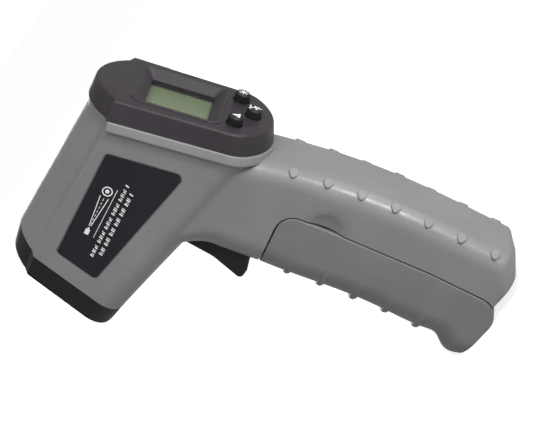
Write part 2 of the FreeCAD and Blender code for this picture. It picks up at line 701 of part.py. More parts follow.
def build_bezel():
    base = cell("bezel_height")
    wall = 2.6
    top = 2.0
    bezel = Part.makeLoft([section(BEZEL_BASE, at_depth(base)), section(BEZEL_FACE, at_depth(0))], True, True)
    shoulder = [e for e in bezel.Edges if min(out_of_face(v.Point) for v in e.Vertexes) > -0.01]
    bezel = bezel.makeFillet(1.2, shoulder)
    inside = [section(BEZEL_BASE, at_depth(base + 1), wall), section(BEZEL_FACE, at_depth(top), wall)]
    bezel = bezel.cut(Part.makeLoft(inside, True, True))
    gap = WALL + cell("spigot_gap")
    lip = ring_wall(HEAD_REAR, at_depth(base + 2.0), at_depth(base - 1.0), gap, 1.1)
    lip = lip.common(head_room(gap, 0.0, base - 1.0))
    well_deep = cell("window_depth")
    centre = cell("window_v")
    well = Part.Face(rounded_rectangle(25.4, 27.4, 2.0, on_display(well_deep, 0, centre)))
    well = well.extrude(OUT_OF_DISPLAY * (well_deep - 1))
    rim_proud = cell("rim_proud")
    rim = Part.Face(rounded_rectangle(cell("rim_wide"), cell("rim_high"), 3.2, on_display(0.5, 0, centre)))
    rim = rim.extrude(OUT_OF_DISPLAY * (0.5 + rim_proud))
    crown = [e for e in rim.Edges if min(out_of_face(v.Point) for v in e.Vertexes) > rim_proud - 0.01]
    rim = rim.makeFillet(0.8 * rim_proud, crown)
    bezel = bezel.fuse([lip, well, rim])
    posts = []
    for right, up in POST_SPOTS:
        for side in (1, -1):
            foot = on_display(cell("board_depth"), side * right, up)
            posts.append(cylinder(foot.Base, OUT_OF_DISPLAY, 1.7, cell("board_depth") - 1))
    bezel = bezel.fuse(posts)
    wide = cell("opening_wide")
    high = cell("opening_high")
    crest_wide = cell("rim_wide") - 2 * cell("rim_width")
    crest_high = cell("rim_high") - 2 * cell("rim_width")
    slope = Part.makeLoft([
        rounded_rectangle(crest_wide, crest_high, 2.4, on_display(-rim_proud - 0.02, 0, centre)),
        rounded_rectangle(wide, high, 0.8, on_display(cell("opening_depth"), 0, centre)),
    ], True, True)
    opening = Part.Face(rounded_rectangle(wide, high, 0.8, on_display(8.0, 0, centre)))
    opening = opening.extrude(OUT_OF_DISPLAY * 6)
    holes = [cylinder(on_display(8, right, up).Base, OUT_OF_DISPLAY, cell("key_hole"), 12)
             for right, up in KEY_SPOTS.values()]
    pilots = []
    for right, up in POST_SPOTS:
        for side in (1, -1):
            foot = on_display(cell("board_depth") + 0.1, side * right, up)
            pilots.append(cylinder(foot.Base, OUT_OF_DISPLAY, cell("board_screw_shank") + 0.05, 6.0))
    piece("display_bezel", bezel.cut([slope, opening] + holes + pilots))


# ---------------------------------------------------------------- display, board and keys

KEY_SPOTS = {
    "backlight": (cell("key_side_y"), cell("key_side_v")),
    "laser": (-cell("key_side_y"), cell("key_side_v")),
    "units": (0.0, cell("key_middle_v")),
}


def build_display():
    centre = cell("window_v")
    deep = cell("window_depth") + cell("window_thickness")
    slab("display_window", on_display(deep, 0, centre), "Sizes.window_wide", "Sizes.window_high",
         "Sizes.window_thickness")
    deep = cell("lcd_depth") + cell("lcd_thickness")
    slab("lcd_glass", on_display(deep, 0, centre), "Sizes.lcd_wide", "Sizes.lcd_high", "Sizes.lcd_thickness")
    floor = deep + 0.05 + cell("backlight_thickness")
    rise = (cell("lcd_high") - cell("backlight_high")) / 2
    slab("lcd_backlight", on_display(floor, 0, centre + rise), "Sizes.lcd_wide", "Sizes.backlight_high",
         "Sizes.backlight_thickness")
    drop = (cell("lcd_high") - cell("strip_high")) / 2
    slab("lcd_connector_strip", on_display(floor, 0, centre - drop), "Sizes.lcd_wide", "Sizes.strip_high",
         "Sizes.backlight_thickness")
    frame = new_body("lcd_frame", on_display(cell("board_depth"), 0, centre))
    outside = sketch_on(frame, "XY_Plane")
    draw_rectangle(outside, "Sizes.frame_wide", "Sizes.frame_high")
    pad(frame, outside, "Sizes.board_depth - Sizes.frame_depth")
    inside = sketch_on(frame, "XY_Plane", "Sizes.board_depth - Sizes.frame_depth")
    draw_rectangle(inside, "Sizes.lcd_wide + 0.2", "Sizes.lcd_high + 0.2")
    pocket(frame, inside, "Sizes.board_depth")


def build_board():
    """The main board with its clipped lower corners, the controller and the buzzer on its back."""
    back = cell("board_depth") + cell("board_thickness")
    board = new_body("main_board", on_display(back))
    sketch = sketch_on(board, "XY_Plane")
    half = "Sizes.board_half"
    draw_outline(sketch, [
        (f"-{half}", "Sizes.board_high"),
        (f"-{half}", "Sizes.board_low + Sizes.board_corner"),
        (f"-{half} + Sizes.board_corner", "Sizes.board_low"),
        (f"{half} - Sizes.board_corner", "Sizes.board_low"),
        (half, "Sizes.board_low + Sizes.board_corner"),
        (half, "Sizes.board_high"),
    ])
    pad(board, sketch, "Sizes.board_thickness")
    for right, up in POST_SPOTS:
        for side in (1, -1):
            drill = sketch_on(board, "XY_Plane", "Sizes.board_thickness")
            circle = Part.Circle(Vector(side * right, up, 0), Vector(0, 0, 1), cell("board_screw_shank") + 0.2)
            drill.addGeometry(circle, False)
            pocket(board, drill, "Sizes.board_thickness")
    chip_place = on_display(back + 1.4, 4.0, -14.0)
    slab("controller_chip", chip_place, 10.0, 10.0, 1.4)
    turned("buzzer", on_display(back + 4.5, -7.5, -22.0), [(0, 0), (4.5, 0), (4.5, 4.5), (0, 4.5)])


def build_keys():
    board = cell("board_depth")
    for name, (right, up) in KEY_SPOTS.items():
        foot = board - cell("switch_body") - cell("plunger_proud")
        top = foot + cell("key_proud")
        flange_low = foot - cell("key_flange_depth") - cell("key_flange_thickness")
        flange_high = foot - cell("key_flange_depth")
        turned(f"button_{name}", on_display(foot, right, up), [
            (0, 0), ("Sizes.key_stem", 0), ("Sizes.key_stem", flange_low), ("Sizes.key_flange", flange_low),
            ("Sizes.key_flange", flange_high), ("Sizes.key_radius", flange_high),
            ("Sizes.key_radius", top - 0.5), ("Sizes.key_radius - 0.5", top), (0, top),
        ])
        switch = new_body(f"key_switch_{name}", on_display(board, right, up))
        sketch = sketch_on(switch, "XY_Plane")
        draw_rectangle(sketch, "Sizes.switch_side", "Sizes.switch_side")
        pad(switch, sketch, "Sizes.switch_body")
        bore = sketch_on(switch, "XY_Plane", "Sizes.switch_body")
        draw_circle(bore, "Sizes.plunger_radius + Sizes.plunger_gap")
        pocket(switch, bore, "Sizes.switch_body - 0.6")
        raised = 1.6
        long = "Sizes.switch_body + Sizes.plunger_proud - 1.6"
        turned(f"key_plunger_{name}", on_display(board - raised, right, up), [
            (0, 0), ("Sizes.plunger_radius", 0), ("Sizes.plunger_radius", long), (0, long),
        ])


# ---------------------------------------------------------------- sensor and laser

def build_sensor():
    height = cell("sensor_z")
    tube_front = cell("nose_front") - cell("aperture_length") - 0.2
    tube_rear = tube_front - cell("tube_length")
    lens_seat = "Sizes.tube_length - Sizes.ring_height - Sizes.lens_thickness"
    turned("sensor_tube", facing_forward(tube_rear, 0, height), [
        ("Sizes.can_radius + 0.1", 0), ("Sizes.tube_radius", 0), ("Sizes.tube_radius", "Sizes.tube_length"),
        ("Sizes.lens_radius", "Sizes.tube_length"), ("Sizes.lens_radius", lens_seat),
        ("Sizes.lens_radius - 0.8", lens_seat), ("Sizes.can_radius + 0.1", "Sizes.can_height + 1"),
    ])
    front_ring = tube_front - cell("ring_height")
    front_lens = front_ring - cell("lens_thickness")
    turned("lens_ring", facing_forward(front_ring, 0, height), [
        ("Sizes.lens_radius - 1", 0), ("Sizes.lens_radius", 0), ("Sizes.lens_radius", "Sizes.ring_height"),
        ("Sizes.lens_radius - 0.6", "Sizes.ring_height"),
    ])
    turned("infrared_lens", facing_forward(front_lens, 0, height), [
        (0, 0), ("Sizes.lens_radius", 0), ("Sizes.lens_radius", "Sizes.lens_thickness"),
        (0, "Sizes.lens_thickness"),
    ])
    turned("thermopile_sensor", facing_forward(tube_rear, 0, height), [
        (0, 0), ("Sizes.can_radius", 0), ("Sizes.can_radius", "Sizes.can_height - 0.6"),
        ("Sizes.can_radius - 0.5", "Sizes.can_height"), (0, "Sizes.can_height"),
    ])
    slab("sensor_board", facing_forward(tube_rear - cell("thin_board"), 0, height), "Sizes.sensor_board_side",
         "Sizes.sensor_board_side", "Sizes.thin_board")


def build_laser():
    height = cell("laser_z")
    window_rear = cell("nose_front") - 2.6 - cell("laser_window_thickness")
    window_long = "Sizes.laser_window_thickness"
    turned("laser_window", facing_forward(window_rear, 0, height), [
        (0, 0), ("Sizes.laser_window_radius", 0), ("Sizes.laser_window_radius", window_long), (0, window_long),
    ])
    rear = window_rear - 0.5 - cell("laser_length")
    turned("laser_module", facing_forward(rear, 0, height), [
        (0, 0), ("Sizes.laser_radius - 0.6", 0), ("Sizes.laser_radius - 0.6", 3.0), ("Sizes.laser_radius", 3.0),
        ("Sizes.laser_radius", "Sizes.laser_length"), (1.2, "Sizes.laser_length"), (1.2, 9.0), (0, 9.0),
    ])


# ---------------------------------------------------------------- battery, its snap and leads

def along_battery(distance):
    """A placement on the battery's long axis, `distance` above its bottom."""
    bottom = Vector(0, 0, distance - cell("battery_long") / 2)
    return Placement(BATTERY_CENTRE + BATTERY_TURN.multVec(bottom), BATTERY_TURN)


TERMINAL_Y = 6.35


def build_battery():
    battery = new_body("battery", along_battery(0))
    sketch = sketch_on(battery, "XY_Plane")
    draw_rectangle(sketch, "Sizes.battery_thick", "Sizes.battery_wide")
    pad(battery, sketch, "Sizes.battery_long")
    soften(battery, stands_along_z, 2.4)
    for y, radius in ((TERMINAL_Y, 2.9), (-TERMINAL_Y, 3.7)):
        stud = sketch_on(battery, "XY_Plane", "Sizes.battery_long")
        stud.addGeometry(Part.Circle(Vector(0, y, 0), Vector(0, 0, 1), radius), False)
        pad(battery, stud, "Sizes.terminal_height")
    snap = new_body("battery_snap", along_battery(cell("battery_long") + 0.05))
    sketch = sketch_on(snap, "XY_Plane")
    draw_rectangle(sketch, 13.0, 25.0)
    pad(snap, sketch, "Sizes.snap_height")
    soften(snap, stands_along_z, 3.0)
    for y, radius in ((TERMINAL_Y, 3.0), (-TERMINAL_Y, 3.8)):
        socket = sketch_on(snap, "XY_Plane")
        socket.addGeometry(Part.Circle(Vector(0, y, 0), Vector(0, 0, 1), radius), False)
        feature = pocket(snap, socket, "Sizes.terminal_height + 0.05")
        feature.Reversed = True


def cord_path(points):
    """Straight runs joined by tangent arcs, each as large as its two runs allow."""
    edges = []
    start = points[0]
    for before, here, after in zip(points, points[1:], points[2:]):
        to_before = before - here
        to_after = after - here
        shorter = min(to_before.Length, to_after.Length)
        turn = math.pi - to_before.getAngle(to_after)
        setback = 0.45 * shorter
        radius = setback / math.tan(turn / 2)
        to_before.normalize()
        to_after.normalize()
        first = here + to_before * setback
        last = here + to_after * setback
        bisector = (to_before + to_after).normalize()
        middle = here + bisector * (math.hypot(radius, setback) - radius)
        edges += [Part.makeLine(start, first), arc(first, middle, last)]
        start = last
    edges.append(Part.makeLine(start, points[-1]))
    return Part.Wire(edges)


LEAD_ROUTE = ((-26.2, 77.5), (-24.6, 86.0), (-19.4, 93.0), (-11.8, 97.8))


def lead(name, y):
    """A battery lead from the top of the snap to the back of the main board."""
    start = along_battery(cell("battery_long") + 0.05 + cell("snap_height"))
    rise = start.multVec(Vector(-5.5, y, 7.0))
    start = start.multVec(Vector(-5.5, y, 0))
    back = cell("board_depth") + cell("board_thickness")
    end = display_point(y, -26.0, back)
    before_end = display_point(y, -26.0, back + 9.5)
    points = [start, rise] + [Vector(x, y, height) for x, height in LEAD_ROUTE] + [before_end, end]
    path = cord_path(points)
    radius = cell("lead_radius")
    ring = Part.Wire(Part.makeCircle(radius, points[0], points[1] - points[0]))
    tube = path.makePipeShell([ring], True, False)
    piece(name, tube)


# ---------------------------------------------------------------- trigger

def trigger_profile():
    """The shark-fin lever: its front, the swept tip, the underside, the tail in the handle and the pivot end."""
    corners = [
        (14.0, 92.3), (12.6, 82.0), (13.6, 69.9), (9.6, 70.2), (3.6, 73.3), (-0.7, 74.4), (-0.7, 90.0),
        (0.4, 95.0), (6.0, 95.0),
    ]
    radii = [1.0, 14.0, 1.6, 0.8, 3.0, 1.0, 1.5, 2.0, 2.5]
    return rounded_polygon(corners, radii)


def build_trigger():
    half = cell("trigger_half")
    shape = side_prism(trigger_profile(), half)
    flat = [e for e in shape.Edges if e.BoundBox.YLength < 0.01]
    shown = [e for e in flat if e.BoundBox.XMin > 3.5 and e.BoundBox.ZMin < 92.0]
    shape = shape.makeFillet(1.2, shown)
    pivot = Vector(cell("pivot_x"), -20, cell("pivot_z"))
    bore = cylinder(pivot, Vector(0, 1, 0), cell("trigger_pin_radius") + cell("pin_clearance"), 40)
    spring_z = cell("pivot_z") - cell("spring_drop")
    seat = cylinder(Vector(-1.5, 0, spring_z), Vector(1, 0, 0), cell("spring_radius") + 0.5, 2.3)
    piece("trigger", shape.cut([bore, seat]))
    pin = doc.addObject("Part::Cylinder", "trigger_pin")
    pin.Label = "trigger_pin"
    pin.setExpression("Radius", "Sizes.trigger_pin_radius")
    pin.setExpression("Height", "Sizes.trigger_pin_length")
    start = Vector(cell("pivot_x"), -cell("trigger_pin_length") / 2, cell("pivot_z"))
    pin.Placement = Placement(start, Rotation(Vector(0, 0, 1), Vector(0, 1, 0)))


def build_trigger_switch():
    """The micro switch behind the trigger, with its plunger, and the return spring above it."""
    height = cell("pivot_z") - cell("plunger_drop")
    front = -4.0
    rear = -14.0
    body = new_body("trigger_switch", facing_forward(rear, 0, height))
    sketch = sketch_on(body, "XY_Plane")
    draw_rectangle(sketch, 6.0, 6.4)
    pad(body, sketch, front - rear)
    bore = sketch_on(body, "XY_Plane", front - rear)
    draw_circle(bore, "Sizes.plunger_radius + Sizes.plunger_gap")
    pocket(body, bore, 4.0)
    reach = -0.7 - 0.05
    long = reach - (front - 2.4)
    plunger = new_body("trigger_switch_plunger", facing_forward(front - 2.4, 0, height))
    sketch = sketch_on(plunger, "XZ_Plane")
    radius = cell("plunger_radius")
    top = long - radius
    line = [Part.LineSegment(Vector(0, 0, 0), Vector(radius, 0, 0)),
            Part.LineSegment(Vector(radius, 0, 0), Vector(radius, top, 0)),
            Part.ArcOfCircle(Part.Circle(Vector(0, top, 0), Vector(0, 0, 1), radius), 0, math.pi / 2),
            Part.LineSegment(Vector(0, long, 0), Vector(0, 0, 0))]
    sketch.addGeometry(line, False)
    feature = plunger.newObject("PartDesign::Revolution", "plunger_turn")
    feature.Profile = sketch
    feature.ReferenceAxis = (sketch, ["V_Axis"])
    feature.Angle = 360.0
    spring_z = cell("pivot_z") - cell("spring_drop")
    start = Vector(-13.7, 0, spring_z)
    room = 0.6 - start.x
    wire = cell("spring_wire")
    helix = Part.makeHelix((room - 2 * wire) / cell("spring_turns"), room - 2 * wire, cell("spring_radius"))
    profile = Part.Wire(Part.makeCircle(wire, Vector(cell("spring_radius"), 0, 0), Vector(0, 1, 0)))
    coil = Part.Wire(helix.Edges).makePipeShell([profile], True, True)
    coil.rotate(Vector(0, 0, 0), Vector(0, 1, 0), 90)
    coil.translate(start + Vector(wire, 0, 0))
    piece("trigger_spring", coil)


# ---------------------------------------------------------------- battery door

def door_rib(x, height):
    """A bead across the door's front, proud there and sinking into the door towards its sides."""
    radius = cell("rib_radius")
    corner = cell("grip_front_radius") - radius
    half = cell("grip_half") - radius
    out = x - radius + cell("rib_proud")
    lean = 13.0
    slant = corner * (1 - math.sqrt(0.5))
    back = 3.0

    def spot(dx, y):
        return Vector(out + dx, y, height)

    path = Part.Wire([
        Part.makeLine(spot(-corner - back, half), spot(-corner, half)),
        arc(spot(-corner, half), spot(-slant, half - slant), spot(0, half - corner)),
        Part.makeLine(spot(0, half - corner), spot(0, corner - half)),
        arc(spot(0, corner - half), spot(-slant, slant - half), spot(-corner, -half)),
        Part.makeLine(spot(-corner, -half), spot(-corner - back, -half)),
    ])
    ring = Part.Wire(Part.makeCircle(radius, spot(-corner - back, half), Vector(1, 0, 0)))
    bead = path.makePipeShell([ring], True, False)
    bead.rotate(Vector(x, 0, height), Vector(0, 1, 0), lean)
    return bead


EAR_START = 4.3
EAR_END = 7.7


def build_door():
    wall = cell("door_wall")
    seam = door_outline()
    outer = door_form().common(side_prism(seam, HALF_ROOM))
    half = cell("grip_half")
    rim = [e for e in outer.Edges if e.BoundBox.YMin > half - 0.4 or e.BoundBox.YMax < 0.4 - half]
    outer = outer.makeFillet(0.5, rim)
    for height in RIB_HEIGHTS:
        bead = door_rib(between_stations(height, 2), height)
        outer = outer.fuse(bead.common(side_prism(seam, half)))
    inside = side_prism(seam.makeOffset2D(-wall), HALF_ROOM)
    behind = box((-70, -HALF_ROOM, 8.5), (-15, HALF_ROOM, 66))
    cavity = door_form(wall).common(inside.fuse(behind))
    door = outer.cut(cavity)
    x = cell("hinge_x")
    height = cell("hinge_z")
    for side in (1, -1):
        ear = cylinder(Vector(x, side * EAR_START, height), Vector(0, side, 0), cell("hinge_knuckle") + 0.4,
                       EAR_END - EAR_START)
        near, far = sorted((side * EAR_START, side * EAR_END))
        door = door.fuse(ear.fuse(box((x, near, 0.5), (x + 3.0, far, height))))
    slot = box((x - 8, -EAR_START, -1), (x + 3.2, EAR_START, 8.2))
    bore = cell("hinge_pin_radius") + cell("pin_seat")
    pin_hole = cylinder(Vector(x, -8.5, height), Vector(0, 1, 0), bore, 17)
    piece("battery_door", door.cut([slot, pin_hole]))
    pin = doc.addObject("Part::Cylinder", "door_hinge_pin")
    pin.Label = "door_hinge_pin"
    pin.setExpression("Radius", "Sizes.hinge_pin_radius")
    pin.Height = 14.6
    pin.Placement = Placement(Vector(x, -7.3, height), Rotation(Vector(0, 0, 1), Vector(0, 1, 0)))


# ---------------------------------------------------------------- screws

def screw(shank, head, head_high, long):
    """A round-head screw along z: its shank from 0 up to `long`, its head below, with a cross recess."""
    body = cylinder(Vector(0, 0, 0), Vector(0, 0, 1), shank, long)
    cap = cylinder(Vector(0, 0, -head_high), Vector(0, 0, 1), head, head_high)
    cap = cap.makeFillet(head_high * 0.45, [cap.Edges[-1]])
    arm = 0.22 * head
    reach = 0.62 * head
    cut = head_high * 0.6
    slot = box((-reach, -arm, -head_high), (reach, arm, -head_high + cut))
    cross = slot.fuse(box((-arm, -reach, -head_high), (arm, reach, -head_high + cut)))
    return body.fuse(cap).cut(cross)


def build_screws():
    seat = 6.0
    solids = []
    for x, height in SCREW_SPOTS:
        one = screw(cell("screw_shank"), cell("screw_head"), cell("screw_head_height"), cell("screw_long"))
        one.rotate(Vector(0, 0, 0), Vector(1, 0, 0), -90)
        one.translate(Vector(x, -seat, height))
        solids.append(one)
    piece("housing_screws", Part.makeCompound(solids))
    solids = []
    back = cell("board_depth") + cell("board_thickness")
    for right, up in POST_SPOTS:
        for side in (1, -1):
            one = screw(cell("board_screw_shank"), cell("board_screw_head"), 1.1, cell("board_screw_long"))
            one.Placement = on_display(back, side * right, up)
            solids.append(one)
    piece("board_screws", Part.makeCompound(solids))


# ---------------------------------------------------------------- build, check and write

build_housings()
build_labels()
build_nose_cap()
build_bezel()
build_display()
build_board()
build_keys()
build_sensor()
build_laser()
build_battery()
lead("battery_lead_red", 3.4)
lead("battery_lead_black", -3.4)
build_trigger()
build_trigger_switch()
build_door()
build_screws()
doc.recompute()

for item in doc.Objects:
    if "Invalid" in item.State or "Error" in item.State:
        raise RuntimeError(f"{item.Name} is {item.State}")

os.makedirs("parts", exist_ok=True)
KINDS = ("PartDesign::Body", "Part::Feature", "Part::Cylinder")
for item in doc.Objects:
    if item.TypeId not in KINDS:
        continue
    shape = item.Shape
    if shape.isNull() or not shape.isValid() or not shape.Solids:
        raise RuntimeError(f"{item.Label} has no valid solid")
    print(f"{item.Label:26s} solids {len(shape.Solids)}  volume {shape.Volume:10.1f}")
    shape.exportStep(f"parts/{item.Label}.step")
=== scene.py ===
"""Looks of a gun-type infrared thermometer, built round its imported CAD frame. Metres, +X forwards, +Z up."""

import json
import math

import bmesh
import bpy
from mathutils import Matrix, Vector
from mathutils.bvhtree import BVHTree


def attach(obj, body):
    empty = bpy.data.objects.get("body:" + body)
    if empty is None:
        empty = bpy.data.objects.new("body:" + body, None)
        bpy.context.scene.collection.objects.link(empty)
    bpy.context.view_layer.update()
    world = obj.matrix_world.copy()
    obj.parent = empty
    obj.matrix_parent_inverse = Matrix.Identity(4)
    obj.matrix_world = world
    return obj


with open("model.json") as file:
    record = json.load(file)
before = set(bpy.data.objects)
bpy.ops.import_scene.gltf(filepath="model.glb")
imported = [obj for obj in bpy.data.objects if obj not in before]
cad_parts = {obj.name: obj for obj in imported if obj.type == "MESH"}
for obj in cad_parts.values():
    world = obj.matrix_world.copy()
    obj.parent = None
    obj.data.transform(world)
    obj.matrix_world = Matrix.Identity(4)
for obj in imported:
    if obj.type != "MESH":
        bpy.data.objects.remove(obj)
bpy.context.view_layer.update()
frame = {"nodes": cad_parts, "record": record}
NODES = frame["nodes"]
MM = 0.001

# ---------------------------------------------------------------- the display's plane

TILT = math.radians(20.9)
OUT_OF_DISPLAY = Vector((-math.cos(TILT), 0, math.sin(TILT)))
UP_DISPLAY = Vector((math.sin(TILT), 0, math.cos(TILT)))
DISPLAY_ORIGIN = Vector((-18.9, 0, 138.5)) * MM


def on_display(right, up, depth=0.0):
    """A point on the display's face, in millimetres to the user's right, up the display and below it."""
    return DISPLAY_ORIGIN + (UP_DISPLAY * up - OUT_OF_DISPLAY * depth - Vector((0, right, 0))) * MM


# ---------------------------------------------------------------- camera and lights

CAMERA_DISTANCE = 0.65
VIEW_WIDTH = 0.17194
SENSOR_WIDTH = 36.0
WORLD_BELOW = 0.08
WORLD_ABOVE = 0.48
FLOOR_HALF = 4.0
FLOOR_DROP = 0.0001
FLOOR_GLOW = 0.75


def camera_axes(azimuth, elevation, roll):
    """The camera's right, up and backward directions."""
    turn, lift, tip = (math.radians(angle) for angle in (azimuth, elevation, roll))
    back = Vector((math.sin(turn) * math.cos(lift), -math.cos(turn) * math.cos(lift), math.sin(lift)))
    level = Vector((0, 0, 1)).cross(back).normalized()
    upright = back.cross(level)
    right = level * math.cos(tip) - upright * math.sin(tip)
    up = level * math.sin(tip) + upright * math.cos(tip)
    return right, up, back


TARGET = Vector((-9.0, 0, 76.7)) * MM
RIGHT, UP, BACK = camera_axes(204.7, 10.7, 54.4)


def add_camera():
    """A camera whose picture spans VIEW_WIDTH at the object."""
    data = bpy.data.cameras.new("camera")
    data.sensor_width = SENSOR_WIDTH
    data.lens = SENSOR_WIDTH * CAMERA_DISTANCE / VIEW_WIDTH
    camera = bpy.data.objects.new("camera", data)
    camera.matrix_world = Matrix.Translation(TARGET + BACK * CAMERA_DISTANCE) @ Matrix(
        (RIGHT, UP, BACK)).transposed().to_4x4()
    bpy.context.scene.collection.objects.link(camera)
    bpy.context.scene.camera = camera


# Each softbox: its direction from the object, its distance and its width and height in metres, and its watts
SOFTBOXES = {
    "key_softbox": (BACK * 0.72 + UP * 0.56 + RIGHT * 0.41, 1.2, (0.2, 0.2), 6.5),
    "front_softbox": (BACK * 0.85 + UP * 0.45 - RIGHT * 0.3, 1.2, (0.7, 0.7), 9.0),
    "top_softbox": (UP * 0.8 + BACK * 0.3 + RIGHT * 0.6, 1.0, (0.6, 0.5), 2.6),
    "far_side_softbox": (Vector((0.45, -0.95, 0.05)), 1.2, (0.9, 0.4), 3.5),
}


def add_softbox(name, direction, distance, size, power):
    data = bpy.data.lights.new(name, "AREA")
    data.shape = "RECTANGLE"
    data.size, data.size_y = size
    data.energy = power
    light = bpy.data.objects.new(name, data)
    direction = direction.normalized()
    light.location = TARGET + direction * distance
    light.rotation_mode = "QUATERNION"
    light.rotation_quaternion = direction.to_track_quat("Z", "Y")
    bpy.context.scene.collection.objects.link(light)


def add_world():
    """A white backdrop that lights the object more from the picture's top than from its bottom."""
    world = bpy.data.worlds.new("studio")
    world.use_nodes = True
    tree = world.node_tree
    light = tree.nodes["Background"]
    light.inputs["Color"].default_value = (1, 1, 1, 1)
    direction = tree.nodes.new("ShaderNodeTexCoord").outputs["Generated"]
    height = tree.nodes.new("ShaderNodeVectorMath")
    height.operation = "DOT_PRODUCT"
    height.inputs[1].default_value = UP
    tree.links.new(direction, height.inputs[0])
    strength = tree.nodes.new("ShaderNodeMapRange")
    for index, number in enumerate((-1.0, 1.0, WORLD_BELOW, WORLD_ABOVE), start=1):
        strength.inputs[index].default_value = number
    tree.links.new(height.outputs["Value"], strength.inputs[0])
    tree.links.new(strength.outputs[0], light.inputs["Strength"])
    backdrop = tree.nodes.new("ShaderNodeBackground")
    backdrop.inputs["Color"].default_value = (1, 1, 1, 1)
    seen = tree.nodes.new("ShaderNodeLightPath").outputs["Is Camera Ray"]
    choice = tree.nodes.new("ShaderNodeMixShader")
    tree.links.new(seen, choice.inputs[0])
    tree.links.new(light.outputs[0], choice.inputs[1])
    tree.links.new(backdrop.outputs[0], choice.inputs[2])
    tree.links.new(choice.outputs[0], tree.nodes["World Output"].inputs["Surface"])
    bpy.context.scene.world = world
    bpy.context.scene.view_settings.view_transform = "Standard"


def add_floor():
    """A pale floor under the foot, partly glowing so that it fades into the backdrop."""
    mesh = bpy.data.meshes.new("floor")
    corners = [(FLOOR_HALF * x, FLOOR_HALF * y, 0) for x, y in ((-1, -1), (1, -1), (1, 1), (-1, 1))]
    mesh.from_pydata(corners, [], [(0, 1, 2, 3)])
    floor = bpy.data.objects.new("floor", mesh)
    floor.location.z = -FLOOR_DROP
    bpy.context.scene.collection.objects.link(floor)
    material = bpy.data.materials.new("pale_floor")
    material.use_nodes = True
    tree = material.node_tree
    shader = tree.nodes["Principled BSDF"]
    shader.inputs["Base Color"].default_value = (0.6, 0.6, 0.6, 1)
    shader.inputs["Roughness"].default_value = 0.9
    shader.inputs["Emission Color"].default_value = (1, 1, 1, 1)
    seen = tree.nodes.new("ShaderNodeLightPath").outputs["Is Camera Ray"]
    glow = tree.nodes.new("ShaderNodeMath")
    glow.operation = "MULTIPLY"
    glow.inputs[1].default_value = FLOOR_GLOW
    tree.links.new(seen, glow.inputs[0])
    tree.links.new(glow.outputs[0], shader.inputs["Emission Strength"])
    mesh.materials.append(material)


def add_surroundings():
    add_world()
    for name, (direction, distance, size, power) in SOFTBOXES.items():
        add_softbox(name, direction, distance, size, power)
    add_floor()


# ---------------------------------------------------------------- smooth shading of the CAD pieces

SMOOTH_ANGLE = 35.0
WELD_DISTANCE = 0.002 * MM


def soften(obj):
    """Joins a CAD piece's separate faces and shades it smooth up to SMOOTH_ANGLE degrees, as a modifier."""
    modifier = obj.modifiers.new("soften", "NODES")
    modifier.node_group = bpy.data.node_groups.get("soften") or make_soften_group()


def make_soften_group():
    tree = bpy.data.node_groups.new("soften", "GeometryNodeTree")
    tree.interface.new_socket("Geometry", in_out="INPUT", socket_type="NodeSocketGeometry")
    tree.interface.new_socket("Geometry", in_out="OUTPUT", socket_type="NodeSocketGeometry")
    source = tree.nodes.new("NodeGroupInput")
    bare = tree.nodes.new("GeometryNodeRemoveAttribute")
    bare.inputs["Name"].default_value = "custom_normal"
    weld = tree.nodes.new("GeometryNodeMergeByDistance")
    weld.inputs["Distance"].default_value = WELD_DISTANCE
    faces = tree.nodes.new("GeometryNodeSetShadeSmooth")
    faces.domain = "FACE"
    edges = tree.nodes.new("GeometryNodeSetShadeSmooth")
    edges.domain = "EDGE"
    edges.inputs["Shade Smooth"].default_value = False
    bend = tree.nodes.new("GeometryNodeInputMeshEdgeAngle")
    sharp = tree.nodes.new("FunctionNodeCompare")
    sharp.data_type = "FLOAT"
    sharp.operation = "GREATER_THAN"
    sharp.inputs[1].default_value = math.radians(SMOOTH_ANGLE)
    result = tree.nodes.new("NodeGroupOutput")
    tree.links.new(source.outputs[0], bare.inputs["Geometry"])
    tree.links.new(bare.outputs[0], weld.inputs["Geometry"])
    tree.links.new(weld.outputs[0], faces.inputs["Geometry"])
    tree.links.new(faces.outputs[0], edges.inputs["Geometry"])
    tree.links.new(bend.outputs["Unsigned Angle"], sharp.inputs[0])
    tree.links.new(sharp.outputs[0], edges.inputs["Selection"])
    tree.links.new(edges.outputs[0], result.inputs[0])
    return tree


# ---------------------------------------------------------------- materials

